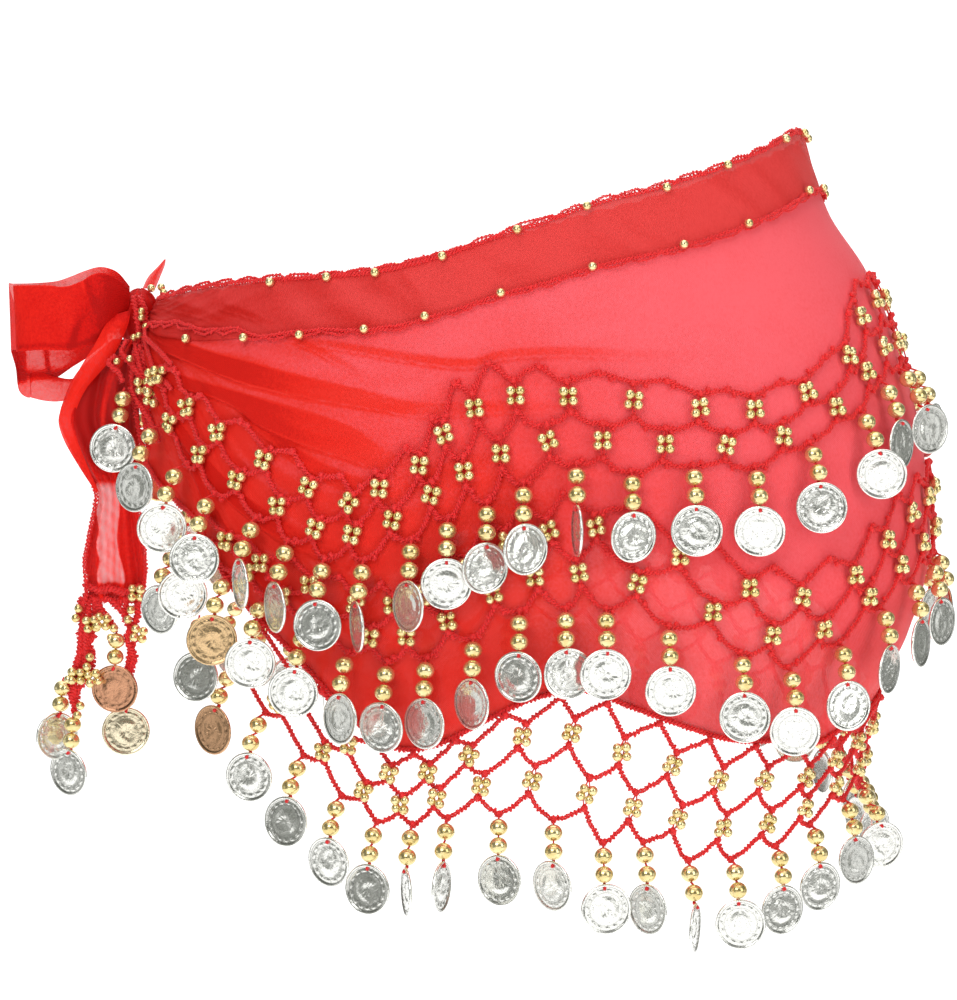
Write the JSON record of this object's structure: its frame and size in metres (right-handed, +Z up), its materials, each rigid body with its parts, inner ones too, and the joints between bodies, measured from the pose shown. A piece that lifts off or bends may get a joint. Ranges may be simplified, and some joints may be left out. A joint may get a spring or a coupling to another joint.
{
  "type": "belly dance hip scarf",
  "caption": "Sheer chiffon hip scarf wrapped as a tube and tied in a bow at one side, with a trimmed waistband and three bands of crochet net hung with beads and coins.",
  "frame": {"origin": "centre of the waist opening, where the top edge grips the hips", "axes": "+X to the side away from the knot, -Y to the front, +Z up out of the waist opening"},
  "size_m": [0.3835, 0.2764, 0.3049],
  "materials": {
    "chiffon": "sheer, crisp",
    "band_chiffon": "sheer, two layers",
    "crochet": "chain-stitched thread",
    "coins": "bright plated, embossed"
  },
  "bodies": {
    "root": {"panel_front": "chiffon", "panel_back": "chiffon", "waistband_front": "band_chiffon", "waistband_back": "band_chiffon", "upper_net_front": "crochet", "upper_net_back": "crochet", "middle_net_front": "crochet", "middle_net_back": "crochet", "hem_net_front": "crochet", "hem_net_back": "crochet", "upper_coins_front": "coins", "upper_coins_back": "coins", "middle_coins_front": "coins", "middle_coins_back": "coins", "hem_coins_front": "coins", "hem_coins_back": "coins", "knot": "chiffon", "bow_loop": "chiffon", "tail": "chiffon", "tail_coins": "coins", "tie_tip": "chiffon"}
  },
  "joints": []
}
